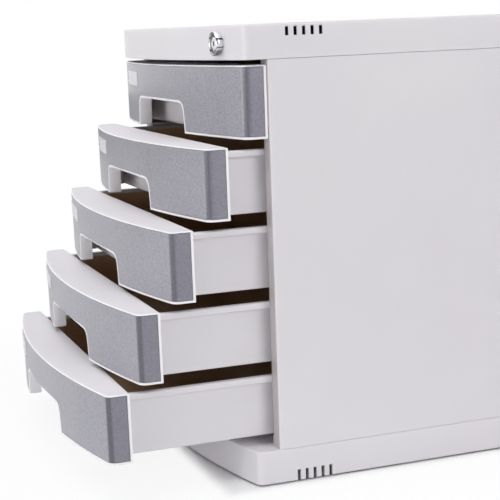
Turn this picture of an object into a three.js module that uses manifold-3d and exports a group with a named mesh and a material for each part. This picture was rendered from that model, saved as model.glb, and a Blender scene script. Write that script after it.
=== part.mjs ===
// Desktop file drawer: five sliding trays in a cabinet with a bowed front and a key lock.
// Millimetres, +Z up. The front faces -Y. Y is measured here from the two ends of the bow,
// and the last lines move the whole model so that its origin is under the middle of its box.

import * as THREE from 'three';
import { mergeVertices } from 'three/addons/utils/BufferGeometryUtils.js';
import Module from 'manifold-3d';

const wasm = await Module();
wasm.setup();

// Driving sizes

const cabinet = {
  width: 305.8,
  depth: 382,
  height: 325,
  bow: 19,
  corner: 5.5,
  edgeRound: 1.6,
  wall: 2.4,
};

const fit = {
  seat: 0.2,
  still: 0.3,
  sliding: 0.6,
  overrun: 2,
};

const drawers = {
  count: 5,
  frontGap: 4.2,
  gapAboveBase: 5.9,
  gapBelowCover: 3.5,
  travel: 240,
  // how far each drawer stands open, from the top one down, as shares of the travel
  openShares: [0, 0.123, 0.238, 0.347, 0.45],
};

const base = {
  height: 24.7,
  deck: 3,
  rib: 2,
  ribDrop: 10,
  longRibShare: 0.333,
  crossRibShares: [0.333, 0.667],
};

const cover = {
  height: 23.6,
  plate: 2.6,
  postRadius: 4.5,
};

const vents = {
  count: 5,
  width: 2.6,
  pitch: 6.25,
  height: 6.8,
  belowTop: 1.6,
  footHeight: 8,
  setback: 30.8,
};

const panel = {
  setback: 17.5,
  skin: 3,
  flange: 11,
  flangeThickness: 3,
  footThickness: 6,
  footWidth: 16.9,
  runnerThickness: 3,
  runnerGap: 0.8,
  keeperThickness: 2,
  keeperGap: 1.8,
  rearFlange: 8,
};

const backPanel = {
  thickness: 3,
  rearWall: 2.4,
  tuck: 6,
};

const foot = {
  radius: 9,
  stand: 1.5,
  thickness: 3.3,
  bevel: 0.8,
  fromSide: 22,
  fromEnd: 26,
  postRadius: 11,
};

const screw = {
  headRadius: 3.5,
  headHeight: 2.2,
  shankRadius: 1.6,
  length: 8.5,
  slotWidth: 0.9,
  slotDepth: 1.1,
  slotRim: 1.4,
  fromSide: 10.9,
  fromFront: 58,
  fromBack: 42,
};

const front = {
  sideGap: 2.45,
  bow: 17,
  corner: 6,
  edgeRound: 1,
  wall: 3.2,
  plate: 2.2,
  backWall: 2,
  rib: 2.4,
  ribFromSide: 50.45,
};

const inlay = {
  thickness: 1.4,
  rimTop: 1,
  rimBottom: 1.7,
  rimRear: 1.8,
  rimNotch: 1.8,
};

const notch = {
  halfWidth: 60.4,
  height: 22.4,
  taper: 2.4,
  corner: 8.5,
  depth: 10,
  wall: 1.8,
  shoulderShare: 0.33,
};

const tray = {
  sideGap: 0.7,
  wall: 2,
  floor: 2,
  belowFrontTop: 3.4,
  aboveFrontBottom: 2,
  frontSetback: 9.4,
  rearGap: 4.6,
  lip: 4,
  lipHeight: 4.4,
  corner: 4,
  earLength: 8,
  earReach: 2,
  stopGap: 0.5,
};

const hook = {
  height: 8,
  reach: 2.6,
  barb: 1.4,
  aboveFloor: 22,
};

const liner = {
  thickness: 1,
  belowTop: 3,
};

const label = {
  width: 56,
  height: 12.4,
  fromSide: 60.45,
  belowTop: 6.9,
  corner: 2.2,
  proud: 0.9,
  cardThickness: 0.4,
};

const lock = {
  fromSide: 31.8,
  belowTop: 12.2,
  flangeRadius: 8.5,
  proud: 4.2,
  rimRound: 1.2,
  barrelRadius: 6.5,
  barrelEnd: 11,
  plugRadius: 4.6,
  plugInset: 0.4,
  keyWidth: 2.4,
  keyHeight: 3,
  keyDepth: 9,
  studRadius: 2.6,
  studLength: 2.4,
  screwHole: 1.4,
  screwHoleDepth: 6,
  nutRadius: 9,
  nutThickness: 3.5,
  turn: 90,
};

const cam = {
  radius: 9,
  thickness: 2,
  pinRadius: 1.5,
  pinOffset: 6,
  screwHeadRadius: 3.2,
  screwHeadHeight: 1.2,
  screwShankRadius: 1.1,
  screwLength: 6,
};

const lockBar = {
  thickness: 1.6,
  width: 12,
  fromFront: 126,
  pinSlack: 0.5,
  eyeMargin: 3.4,
  plateThickness: 2,
  tooth: 4,
  toothHeight: 5,
  toothGap: 1,
  lugLength: 5,
  lugHeight: 6,
  lugShare: 0.358,
  lugGap: 1,
  tail: 6,
};

const guide = {
  height: 8,
  wall: 3,
  reach: 5.9,
  aboveFloor: 3,
  drawers: [1, 4],
};

const steps = {
  bow: 20,
  corner: 4,
  edge: 2,
  disc: 20,
  small: 8,
  nut: 6,
};

// Places worked out from the driving sizes

const halfWidth = cabinet.width / 2;
const top = cabinet.height;
const coverBottom = top - cover.height;
const stackHeight = coverBottom - base.height - drawers.gapAboveBase - drawers.gapBelowCover;
const pitch = (stackHeight + drawers.frontGap) / drawers.count;
const frontHeight = pitch - drawers.frontGap;
const skinInside = halfWidth - panel.skin;
const frontRear = panel.setback - fit.still;
const trayHalf = halfWidth - panel.flange - tray.sideGap - tray.lip;
const frontHalf = halfWidth - front.sideGap;
const frontPlan = { width: 2 * frontHalf, bow: front.bow, corner: front.corner };
const ribX = frontHalf - front.ribFromSide;
const lockX = halfWidth - lock.fromSide;
const trayTop = frontHeight - tray.belowFrontTop;
const trayRear = cabinet.depth - backPanel.rearWall - backPanel.thickness - 3 * fit.still
  - panel.flangeThickness - tray.rearGap;
const flangeRear = panel.setback + panel.flangeThickness;
const lockHeight = top - lock.belowTop;

// Materials

const paint = (color, roughness, metalness = 0) =>
  new THREE.MeshStandardMaterial({ color, roughness, metalness });

const whitePlastic = paint(0xdedadd, 0.42);
const trayPlastic = paint(0xd8d3d9, 0.45);
const greyFace = paint(0xa1a0a8, 0.38, 0.15);
const brownBoard = paint(0x6b4f35, 0.9);
const paper = paint(0xf0ecee, 0.85);
const clearPlastic = paint(0xe4e2e6, 0.1);
const rubber = paint(0x2b2b2d, 0.85);
const chrome = paint(0xc9c9cd, 0.16, 1);
const zinc = paint(0xaeb0b4, 0.4, 1);

// Solids

function solidOf(geometry) {
  const bare = geometry.clone();
  bare.deleteAttribute('normal');
  bare.deleteAttribute('uv');
  const merged = mergeVertices(bare);
  return new wasm.Manifold(new wasm.Mesh({
    numProp: 3,
    vertProperties: Float32Array.from(merged.attributes.position.array),
    triVerts: Uint32Array.from(merged.index.array),
  }));
}

function geometryOf(solid) {
  const { vertProperties, triVerts } = solid.getMesh();
  const geometry = new THREE.BufferGeometry();
  geometry.setAttribute('position', new THREE.BufferAttribute(Float32Array.from(vertProperties), 3));
  geometry.setIndex(new THREE.BufferAttribute(Uint32Array.from(triVerts), 1));
  geometry.computeVertexNormals();
  return geometry;
}

// A block between a low and a high value on each axis.
function block([x0, x1], [y0, y1], [z0, z1]) {
  const geometry = new THREE.BoxGeometry(x1 - x0, y1 - y0, z1 - z0);
  geometry.translate((x0 + x1) / 2, (y0 + y1) / 2, (z0 + z1) / 2);
  return solidOf(geometry);
}

// Outlines of equal length, one above the other, skinned and capped.
function stack(levels) {
  const count = levels[0].outline.length;
  const positions = levels.flatMap(({ outline, z }) => outline.flatMap(({ x, y }) => [x, y, z]));
  const last = (levels.length - 1) * count;
  const faces = [];
  for (const [a, b, c] of THREE.ShapeUtils.triangulateShape(levels[0].outline, [])) {
    faces.push(c, b, a, last + a, last + b, last + c);
  }
  for (let low = 0; low < last; low += count) {
    for (let here = 0; here < count; here += 1) {
      const next = (here + 1) % count;
      faces.push(low + here, low + next, low + count + next);
      faces.push(low + here, low + count + next, low + count + here);
    }
  }
  const geometry = new THREE.BufferGeometry();
  geometry.setAttribute('position', new THREE.Float32BufferAttribute(positions, 3));
  geometry.setIndex(faces);
  return geometry;
}

function circle(radius, sides) {
  return Array.from({ length: sides }, (none, index) => {
    const angle = (index / sides) * 2 * Math.PI;
    return new THREE.Vector2(radius * Math.cos(angle), radius * Math.sin(angle));
  });
}

// A turned piece on the Z axis: each ring is a height and a radius.
function turned(rings, sides = steps.disc) {
  return stack(rings.map(([z, radius]) => ({ z, outline: circle(radius, sides) })));
}

// The same piece laid along +Y, at the lock's axis.
function turnedAtLock(rings, sides = steps.disc) {
  const geometry = turned(rings, sides);
  geometry.rotateX(-Math.PI / 2);
  geometry.translate(lockX, 0, lockHeight);
  return solidOf(geometry);
}

// A flat shape drawn in X and Z, pushed through from one Y to another.
function through(shape, [y0, y1]) {
  const geometry = new THREE.ExtrudeGeometry(shape, {
    depth: y1 - y0,
    bevelEnabled: false,
    curveSegments: steps.corner,
  });
  geometry.rotateX(Math.PI / 2);
  geometry.translate(0, y1, 0);
  return solidOf(geometry);
}

// Seen from above: a shallow bow in front, a rounded corner at each end, straight sides and back.
// The inset moves the bow, the corners and the sides inwards by the same amount.
function bowedOutline(plan, inset, back) {
  const chord = plan.width / 2 - plan.corner;
  const radius = (chord ** 2 + plan.bow ** 2) / (2 * plan.bow);
  const centre = radius - plan.bow;
  const corner = Math.max(plan.corner - inset, fit.still);
  const cornerX = plan.width / 2 - inset - corner;
  const reach = radius - inset - corner;
  const cornerY = centre - Math.sqrt(reach ** 2 - cornerX ** 2);
  const lean = Math.asin(cornerX / reach);
  const down = 1.5 * Math.PI;
  const arc = (x, y, r, from, to, count) => Array.from({ length: count + 1 }, (none, index) => {
    const angle = from + ((to - from) * index) / count;
    return new THREE.Vector2(x + r * Math.cos(angle), y + r * Math.sin(angle));
  });
  const left = arc(-cornerX, cornerY, corner, Math.PI, down - lean, steps.corner);
  const bow = arc(0, centre, radius - inset, down - lean, down + lean, steps.bow);
  const right = arc(cornerX, cornerY, corner, down + lean, 2 * Math.PI, steps.corner);
  const side = plan.width / 2 - inset;
  return [
    new THREE.Vector2(-side, back),
    ...left,
    ...bow.slice(1, -1),
    ...right,
    new THREE.Vector2(side, back),
  ];
}

function bowedSolid(plan, inset, back, [z0, z1]) {
  const outline = bowedOutline(plan, inset, back);
  return solidOf(stack([{ z: z0, outline }, { z: z1, outline }]));
}

// The same with its top edge rounded over. The back keeps its place.
function bowedCap(plan, back, [z0, z1], round) {
  const levels = [{ z: z0, outline: bowedOutline(plan, 0, back) }];
  for (let step = 0; step <= steps.edge; step += 1) {
    const angle = (step / steps.edge) * (Math.PI / 2);
    const inset = round * (1 - Math.cos(angle));
    const z = z1 - round * (1 - Math.sin(angle));
    levels.push({ z, outline: bowedOutline(plan, inset, back - inset) });
  }
  return solidOf(stack(levels));
}

function sum(solids) {
  return solids.reduce((whole, solid) => whole.add(solid));
}

function piece(name, solid, material) {
  const mesh = new THREE.Mesh(geometryOf(solid), material.clone());
  mesh.name = name;
  return mesh;
}

const bothSides = [-1, 1];

// A pair of X limits, mirrored to the wanted side and put in order.
const sided = (side, near, far) => [side * near, side * far].sort((a, b) => a - b);

// Screw places, as seen from above

const screwX = halfWidth - screw.fromSide;
const sideName = (side) => (side < 0 ? 'left' : 'right');
const screwPlaces = bothSides.flatMap((side) => [
  { x: side * screwX, y: screw.fromFront, name: `front_${sideName(side)}` },
  { x: side * screwX, y: cabinet.depth - screw.fromBack, name: `rear_${sideName(side)}` },
]);
const screwHole = screw.shankRadius + fit.still;
const headRoom = screw.headRadius + fit.still;

function drill(place, radius, [z0, z1]) {
  const geometry = turned([[z0, radius], [z1, radius]], steps.small);
  geometry.translate(place.x, place.y, 0);
  return solidOf(geometry);
}

// A pan head screw whose head starts at the given height and whose shank points up.
function screwSolid(place, seat) {
  const geometry = turned([
    [seat - screw.headHeight, screw.headRadius - screw.slotWidth],
    [seat - screw.headHeight + screw.slotWidth, screw.headRadius],
    [seat, screw.headRadius],
  ], steps.small);
  const shank = turned([
    [seat - screw.slotDepth, screw.shankRadius],
    [seat + screw.length - screw.shankRadius, screw.shankRadius],
    [seat + screw.length, screw.shankRadius / 2],
  ], steps.small);
  geometry.translate(place.x, place.y, 0);
  shank.translate(place.x, place.y, 0);
  const half = screw.slotWidth / 2;
  const long = screw.headRadius - screw.slotRim;
  const slotHeight = [seat - screw.headHeight - fit.overrun, seat - screw.headHeight + screw.slotDepth];
  const cross = block([place.x - long, place.x + long], [place.y - half, place.y + half], slotHeight)
    .add(block([place.x - half, place.x + half], [place.y - long, place.y + long], slotHeight));
  return solidOf(geometry).add(solidOf(shank)).subtract(cross);
}

// Base: a tray turned upside down, with a flat deck, slots along its lower edge and four foot posts

const footX = halfWidth - foot.fromSide;
const footPlaces = bothSides.flatMap((side) => [
  { x: side * footX, y: foot.fromEnd, name: `front_${sideName(side)}` },
  { x: side * footX, y: cabinet.depth - foot.fromEnd, name: `rear_${sideName(side)}` },
]);
const footTop = foot.thickness - foot.stand;

function ventSlots([z0, z1]) {
  const slots = [];
  for (const side of bothSides) {
    for (let index = 0; index < vents.count; index += 1) {
      const y = vents.setback + index * vents.pitch;
      const x = sided(side, halfWidth - cabinet.wall - fit.still, halfWidth + fit.overrun);
      slots.push(block(x, [y, y + vents.width], [z0, z1]));
    }
  }
  return sum(slots);
}

function makeBase() {
  const deckUnder = base.height - base.deck;
  const inside = bowedSolid(
    cabinet, cabinet.wall, cabinet.depth - cabinet.wall, [-fit.overrun, deckUnder],
  );
  const ribHeight = [deckUnder - base.ribDrop, base.height - base.deck / 2];
  const innerHalf = halfWidth - cabinet.wall / 2;
  const ribPlace = halfWidth * base.longRibShare;
  const ribs = bothSides.map((side) => block(
    sided(side, ribPlace - base.rib / 2, ribPlace + base.rib / 2),
    [0, cabinet.depth - cabinet.wall / 2],
    ribHeight,
  ));
  for (const share of base.crossRibShares) {
    const y = cabinet.depth * share;
    ribs.push(block([-innerHalf, innerHalf], [y - base.rib / 2, y + base.rib / 2], ribHeight));
  }
  const posts = footPlaces.map((place) =>
    drill(place, foot.postRadius, [footTop + fit.still, base.height - base.deck / 2]));
  const holes = screwPlaces.map((place) =>
    drill(place, screwHole, [deckUnder - fit.overrun, base.height + fit.overrun]));
  const shell = bowedSolid(cabinet, 0, cabinet.depth, [0, base.height]).subtract(inside);
  return sum([shell, ...ribs, ...posts])
    .subtract(sum(holes))
    .subtract(ventSlots([-fit.overrun, vents.footHeight]));
}

function footSolid(place) {
  const geometry = turned([
    [-foot.stand, foot.radius - foot.bevel],
    [-foot.stand + foot.bevel, foot.radius],
    [footTop, foot.radius],
  ]);
  geometry.translate(place.x, place.y, 0);
  return solidOf(geometry);
}

// Cover: a bowed cap with slots at its sides, a hole for the lock and four screw posts

function makeCover() {
  const underPlate = top - cover.plate;
  const inside = bowedSolid(
    cabinet, cabinet.wall, cabinet.depth - cabinet.wall, [coverBottom - fit.overrun, underPlate],
  );
  const posts = screwPlaces.map((place) =>
    drill(place, cover.postRadius, [coverBottom, top - cover.plate / 2]));
  const pilots = screwPlaces.map((place) =>
    drill(place, screwHole, [coverBottom - fit.overrun, coverBottom + screw.length]));
  const ventTop = top - vents.belowTop;
  const lockHole = turnedAtLock([
    [-cabinet.bow - fit.overrun, lock.barrelRadius + fit.still],
    [lock.barrelEnd, lock.barrelRadius + fit.still],
  ]);
  const cap = bowedCap(cabinet, cabinet.depth, [coverBottom, top], cabinet.edgeRound);
  return sum([cap.subtract(inside), ...posts])
    .subtract(sum(pilots))
    .subtract(ventSlots([ventTop - vents.height, ventTop]))
    .subtract(lockHole);
}

// Side panels: a skin with folded edges, five runners and the keepers above them

const barInner = skinInside - fit.still - lockBar.thickness;
const barSlotInner = barInner - fit.still;
const barSlotY = [lockBar.fromFront - fit.still, lockBar.fromFront + lockBar.width + fit.still];

const frontBottom = (index) => base.height + drawers.gapAboveBase + (drawers.count - 1 - index) * pitch;

function makeSidePanel(side) {
  const across = (reach) => sided(side, halfWidth - panel.skin / 2, halfWidth - reach);
  const height = [base.height + fit.seat, coverBottom - fit.seat];
  const depthRange = [panel.setback, cabinet.depth];
  const besideTray = halfWidth - trayHalf;
  const flangeUnder = frontBottom(0) + trayTop + fit.sliding;
  const grooveFront = cabinet.depth - backPanel.rearWall - backPanel.thickness - 2 * fit.still;
  const runnerRange = [panel.setback + panel.flangeThickness / 2, grooveFront];
  const parts = [
    block(sided(side, skinInside, halfWidth), depthRange, height),
    block(across(panel.flange), [panel.setback, flangeRear], height),
    block(across(panel.rearFlange), [cabinet.depth - backPanel.rearWall, cabinet.depth], height),
    block(across(panel.rearFlange), [grooveFront - panel.flangeThickness, grooveFront], height),
    block(across(panel.footWidth), runnerRange, [height[0], base.height + panel.footThickness]),
    block(across(panel.footWidth), runnerRange, [flangeUnder, height[1]]),
  ];
  for (let index = 0; index < drawers.count; index += 1) {
    const lipBottom = frontBottom(index) + trayTop - tray.lipHeight;
    const runnerTop = lipBottom - fit.still;
    parts.push(block(
      across(besideTray - panel.runnerGap),
      runnerRange,
      [runnerTop - panel.runnerThickness, runnerTop],
    ));
    if (index > 0) {
      const keeperUnder = frontBottom(index) + trayTop + fit.sliding;
      const keeperHeight = [keeperUnder, keeperUnder + panel.keeperThickness];
      parts.push(block(across(besideTray - panel.keeperGap), runnerRange, keeperHeight));
    }
  }
  const holes = screwPlaces.filter((place) => place.x * side > 0).flatMap((place) => [
    drill(place, screwHole, [base.height - fit.overrun, base.height + screw.length]),
    drill(place, screwHole, [flangeUnder - fit.overrun, coverBottom + fit.overrun]),
    drill(place, headRoom, [flangeUnder - fit.overrun, flangeUnder + screw.headHeight + fit.still]),
  ]);
  const whole = sum(parts).subtract(sum(holes));
  if (side < 0) {
    return whole;
  }
  const barSlot = block(
    sided(side, barSlotInner, skinInside),
    barSlotY,
    [base.height + panel.footThickness, coverBottom + fit.overrun],
  );
  return whole.subtract(barSlot);
}

function makeBackPanel() {
  const half = skinInside - fit.still;
  const rear = cabinet.depth - backPanel.rearWall - fit.still;
  const height = [base.height + fit.seat, coverBottom + backPanel.tuck];
  return block([-half, half], [rear - backPanel.thickness, rear], height);
}

// One drawer, drawn closed, with z = 0 at the lower edge of its front

function notchShape(grow, bottom) {
  const wide = notch.halfWidth + grow;
  const high = notch.height + grow;
  const narrow = wide - notch.taper;
  const shoulder = narrow + notch.taper * notch.shoulderShare;
  const corner = notch.corner + grow;
  const shape = new THREE.Shape();
  shape.moveTo(-wide, bottom);
  shape.lineTo(wide, bottom);
  shape.lineTo(wide, 0);
  shape.lineTo(shoulder, high - corner);
  shape.quadraticCurveTo(narrow, high, narrow - corner, high);
  shape.lineTo(-narrow + corner, high);
  shape.quadraticCurveTo(-narrow, high, -shoulder, high - corner);
  shape.lineTo(-wide, 0);
  shape.closePath();
  return shape;
}

const frontDepth = [-front.bow - fit.overrun, frontRear];

// A sheet that follows the bow between two depths under the outer face.
function bowedSheet(outer, inner, back, height) {
  const over = [height[0] - fit.overrun, height[1] + fit.overrun];
  return bowedSolid(frontPlan, outer, back, height)
    .subtract(bowedSolid(frontPlan, inner, back + fit.overrun, over));
}

function roundedPlate(x, z, width, height, corner) {
  const shape = new THREE.Shape();
  const left = x - width / 2;
  const low = z - height / 2;
  shape.moveTo(left + corner, low);
  shape.lineTo(left + width - corner, low);
  shape.quadraticCurveTo(left + width, low, left + width, low + corner);
  shape.lineTo(left + width, low + height - corner);
  shape.quadraticCurveTo(left + width, low + height, left + width - corner, low + height);
  shape.lineTo(left + corner, low + height);
  shape.quadraticCurveTo(left, low + height, left, low + height - corner);
  shape.lineTo(left, low + corner);
  shape.quadraticCurveTo(left, low, left + corner, low);
  return shape;
}

const hookHeight = [hook.aboveFloor, hook.aboveFloor + hook.height];

function makeBezel() {
  const height = [0, frontHeight];
  const insideTop = frontHeight - front.plate;
  const insideRear = frontRear - front.backWall;
  const inside = bowedSolid(frontPlan, front.wall, insideRear, [-fit.overrun, insideTop]);
  const mouth = block(
    [-trayHalf - fit.still, trayHalf + fit.still],
    [0, frontRear + fit.overrun],
    [tray.aboveFrontBottom - fit.still, insideTop],
  );
  const shell = bowedCap(frontPlan, frontRear, height, front.edgeRound)
    .subtract(inside)
    .subtract(mouth);
  const returnDepth = bowedSheet(0, notch.depth, frontRear, height);
  const surround = through(notchShape(notch.wall, 0), frontDepth).intersect(returnDepth);
  const ribs = bothSides.map((side) => {
    const x = [side * ribX - front.rib / 2, side * ribX + front.rib / 2];
    const ribDepth = [-front.bow, tray.frontSetback - fit.still];
    const rib = block(x, ribDepth, [tray.aboveFrontBottom, frontHeight])
      .intersect(bowedSolid(frontPlan, front.wall / 2, frontRear, [0, insideTop + front.plate / 2]));
    const wallRear = tray.frontSetback + tray.wall;
    const arm = block(x, [0, wallRear + hook.reach], hookHeight);
    const barb = block(
      x,
      [wallRear + fit.still, wallRear + hook.reach],
      [hookHeight[1] - fit.still, hookHeight[1] + hook.barb],
    );
    return sum([rib, arm, barb]);
  });
  const recessHeight = [inlay.rimBottom, frontHeight - inlay.rimTop];
  const recessFloor = inlay.thickness + fit.still;
  const recess = bowedSheet(-fit.overrun, recessFloor, frontRear - inlay.rimRear, recessHeight)
    .subtract(through(notchShape(inlay.rimNotch, -fit.overrun), frontDepth));
  return sum([shell, surround, ...ribs])
    .subtract(recess)
    .subtract(through(notchShape(0, -fit.overrun), [frontDepth[0], tray.frontSetback]));
}

const labelHeight = frontHeight - label.belowTop - label.height / 2;

function labelPlate(grow) {
  return through(roundedPlate(
    label.fromSide - frontHalf,
    labelHeight,
    label.width + 2 * grow,
    label.height + 2 * grow,
    label.corner + grow,
  ), [frontDepth[0], 0]);
}

function makeInlay() {
  const height = [inlay.rimBottom + fit.still, frontHeight - inlay.rimTop - fit.still];
  const back = frontRear - inlay.rimRear - fit.still;
  return bowedSheet(0, inlay.thickness, back, height)
    .subtract(through(notchShape(inlay.rimNotch + fit.still, -fit.overrun), frontDepth))
    .subtract(labelPlate(fit.still));
}

function makeLabelCard() {
  const depth = inlay.thickness;
  return bowedSheet(depth - label.cardThickness, depth, frontRear, [0, frontHeight])
    .intersect(labelPlate(-fit.still));
}

function makeLabelWindow() {
  const inner = inlay.thickness - label.cardThickness - fit.still;
  const outer = -label.proud;
  return bowedSheet(outer, inner, frontRear, [0, frontHeight]).intersect(labelPlate(0));
}

const trayFront = tray.frontSetback;
const lipStart = frontRear + fit.still;
const earFront = flangeRear + drawers.travel + tray.stopGap;
const lugFront = lockBar.fromFront + lockBar.width + lockBar.lugGap;
const lugBottom = tray.aboveFrontBottom + (trayTop - tray.aboveFrontBottom) * lockBar.lugShare;

function trayOutline(half, y0, y1, corner) {
  const shape = [];
  const corners = [[half, y1], [-half, y1], [-half, y0], [half, y0]];
  for (const [quarter, [x, y]] of corners.entries()) {
    const centreX = x - Math.sign(x) * corner;
    const centreY = y === y1 ? y - corner : y + corner;
    for (let step = 0; step <= steps.edge; step += 1) {
      const angle = (quarter + step / steps.edge) * (Math.PI / 2);
      const round = new THREE.Vector2(corner * Math.cos(angle), corner * Math.sin(angle));
      shape.push(round.add(new THREE.Vector2(centreX, centreY)));
    }
  }
  return shape;
}

function tub(half, [y0, y1], corner, [z0, z1]) {
  const outline = trayOutline(half, y0, y1, corner);
  return solidOf(stack([{ z: z0, outline }, { z: z1, outline }]));
}

function makeTray() {
  const bottom = tray.aboveFrontBottom;
  const outer = tub(trayHalf, [trayFront, trayRear], tray.corner, [bottom, trayTop]);
  const inner = tub(
    trayHalf - tray.wall,
    [trayFront + tray.wall, trayRear - tray.wall],
    tray.corner - tray.wall,
    [bottom + tray.floor, trayTop + fit.overrun],
  );
  const lipHeight = [trayTop - tray.lipHeight, trayTop];
  const parts = [outer];
  for (const side of bothSides) {
    const overWall = trayHalf - tray.wall / 2;
    const lipX = sided(side, overWall, trayHalf + tray.lip);
    parts.push(block(lipX, [lipStart, trayRear - tray.corner], lipHeight));
    parts.push(block(
      sided(side, overWall, trayHalf + tray.lip + tray.earReach),
      [earFront, earFront + tray.earLength],
      lipHeight,
    ));
  }
  parts.push(block(
    sided(1, trayHalf - tray.wall / 2, trayHalf + tray.lip),
    [lugFront, lugFront + lockBar.lugLength],
    [lugBottom, lugBottom + lockBar.lugHeight],
  ));
  const underPlate = block(
    [-trayHalf - fit.overrun, trayHalf + fit.overrun],
    [trayFront - fit.overrun, lipStart],
    [frontHeight - front.plate - fit.still, trayTop + fit.overrun],
  );
  const slots = bothSides.map((side) => block(
    [side * ribX - front.rib / 2 - fit.still, side * ribX + front.rib / 2 + fit.still],
    [trayFront - fit.overrun, trayFront + tray.wall + fit.overrun],
    [hookHeight[0] - fit.still, hookHeight[1] + fit.still],
  ));
  return sum(parts).subtract(inner).subtract(underPlate).subtract(sum(slots));
}

function makeLiner() {
  const gap = tray.wall + fit.still;
  const half = trayHalf - gap;
  const y = [trayFront + tray.wall + hook.reach + fit.still, trayRear - gap];
  const z = [tray.aboveFrontBottom + tray.floor + fit.still, trayTop - liner.belowTop];
  const corner = tray.corner - tray.wall;
  const wall = liner.thickness;
  const insideY = [y[0] + wall, y[1] - wall];
  const insideZ = [z[0] + wall, z[1] + fit.overrun];
  return tub(half, y, corner, z).subtract(tub(half - wall, insideY, corner - wall / 2, insideZ));
}

// Lock: housing, nut, plug, cam and the bar that catches the lugs on the trays

const flangeFront = -lock.proud - bowDepthAt(lockX);

// How far the cabinet's bow stands in front of its ends at a given X.
function bowDepthAt(x) {
  const chord = halfWidth - cabinet.corner;
  const radius = (chord ** 2 + cabinet.bow ** 2) / (2 * cabinet.bow);
  return Math.sqrt(radius ** 2 - x ** 2) - (radius - cabinet.bow);
}

function makeLockHousing() {
  const flange = turnedAtLock([
    [flangeFront, lock.flangeRadius - lock.rimRound],
    [flangeFront + lock.rimRound, lock.flangeRadius],
    [0, lock.flangeRadius],
  ]).subtract(bowedSolid(cabinet, -fit.still, cabinet.depth, [coverBottom, top]));
  const barrel = turnedAtLock([
    [flangeFront + lock.rimRound, lock.barrelRadius],
    [lock.barrelEnd, lock.barrelRadius],
  ]);
  const bore = turnedAtLock([
    [flangeFront - fit.overrun, lock.plugRadius + fit.still],
    [lock.barrelEnd + fit.overrun, lock.plugRadius + fit.still],
  ]);
  return flange.add(barrel).subtract(bore);
}

const nutFront = cabinet.wall + fit.still - bowDepthAt(lockX + lock.nutRadius);

function makeLockNut() {
  const nut = turnedAtLock([
    [nutFront, lock.nutRadius],
    [nutFront + lock.nutThickness, lock.nutRadius],
  ], steps.nut);
  return nut
    .subtract(turnedAtLock([
      [nutFront - fit.overrun, lock.barrelRadius + fit.still],
      [nutFront + lock.nutThickness + fit.overrun, lock.barrelRadius + fit.still],
    ]));
}

const plugFront = flangeFront + lock.plugInset;
const camFront = lock.barrelEnd + fit.still;
const studEnd = camFront + lock.studLength;

function makePlug() {
  const body = turnedAtLock([[plugFront, lock.plugRadius], [lock.barrelEnd, lock.plugRadius]]);
  const stud = turnedAtLock([
    [lock.barrelEnd - fit.overrun, lock.studRadius],
    [studEnd, lock.studRadius],
  ], steps.small);
  const keyway = block(
    [lockX - lock.keyWidth / 2, lockX + lock.keyWidth / 2],
    [plugFront - fit.overrun, plugFront + lock.keyDepth],
    [lockHeight - lock.keyHeight / 2, lockHeight + lock.keyHeight / 2],
  );
  const thread = turnedAtLock([
    [studEnd - lock.screwHoleDepth, lock.screwHole],
    [studEnd + fit.overrun, lock.screwHole],
  ], steps.small);
  return body.add(stud).subtract(keyway).subtract(thread);
}

const pinAngle = (lock.turn / 2) * (Math.PI / 180);
const pinX = lockX + cam.pinOffset * Math.cos(pinAngle);
const pinZ = lockHeight + cam.pinOffset * Math.sin(pinAngle);
const plateFront = studEnd + cam.screwHeadHeight + 2 * fit.sliding;
const plateRear = plateFront + lockBar.plateThickness;

function makeCam() {
  const disc = turnedAtLock([[camFront, cam.radius], [camFront + cam.thickness, cam.radius]])
    .subtract(turnedAtLock([
      [camFront - fit.overrun, lock.studRadius + fit.still],
      [camFront + cam.thickness + fit.overrun, lock.studRadius + fit.still],
    ], steps.small));
  const pin = turned([
    [camFront + fit.still, cam.pinRadius],
    [plateRear + fit.still, cam.pinRadius],
  ], steps.small);
  pin.rotateX(-Math.PI / 2);
  pin.translate(pinX, 0, pinZ);
  return disc.add(solidOf(pin));
}

function makeCamScrew() {
  const seat = studEnd + fit.still;
  const head = turnedAtLock([
    [seat, cam.screwHeadRadius],
    [seat + cam.screwHeadHeight, cam.screwHeadRadius],
  ], steps.small);
  const shank = turnedAtLock([
    [seat + fit.still - cam.screwLength, cam.screwShankRadius],
    [seat + cam.screwHeadHeight / 2, cam.screwShankRadius],
  ], steps.small);
  return head.add(shank);
}

function makeLockBar() {
  const outer = barInner + lockBar.thickness;
  const strip = [barInner, outer];
  const stripY = [lockBar.fromFront, lockBar.fromFront + lockBar.width];
  const slackX = cam.pinRadius + fit.still;
  const eyeX = [pinX - slackX, lockX + cam.pinOffset + slackX];
  const eyeZ = [pinZ - cam.pinRadius - lockBar.pinSlack, pinZ + cam.pinRadius + lockBar.pinSlack];
  const armBottom = pinZ - cam.pinRadius - lockBar.eyeMargin;
  const armTop = pinZ + cam.pinRadius + lockBar.pinSlack + lockBar.thickness;
  const toothZ = (index) => frontBottom(index) + lugBottom + lockBar.lugHeight + fit.sliding;
  const parts = [
    block(strip, stripY, [toothZ(drawers.count - 1) - lockBar.tail, armTop]),
    block(strip, [plateFront, stripY[1]], [armBottom, armTop]),
    block([eyeX[0] - lockBar.eyeMargin, outer], [plateFront, plateRear], [armBottom, armTop]),
  ];
  for (let index = 0; index < drawers.count; index += 1) {
    parts.push(block(
      [trayHalf + lockBar.toothGap, outer],
      [stripY[1] - lockBar.tooth, stripY[1]],
      [toothZ(index), toothZ(index) + lockBar.toothHeight],
    ));
  }
  return sum(parts).subtract(block(eyeX, [plateFront - fit.overrun, plateRear + fit.overrun], eyeZ));
}

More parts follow.
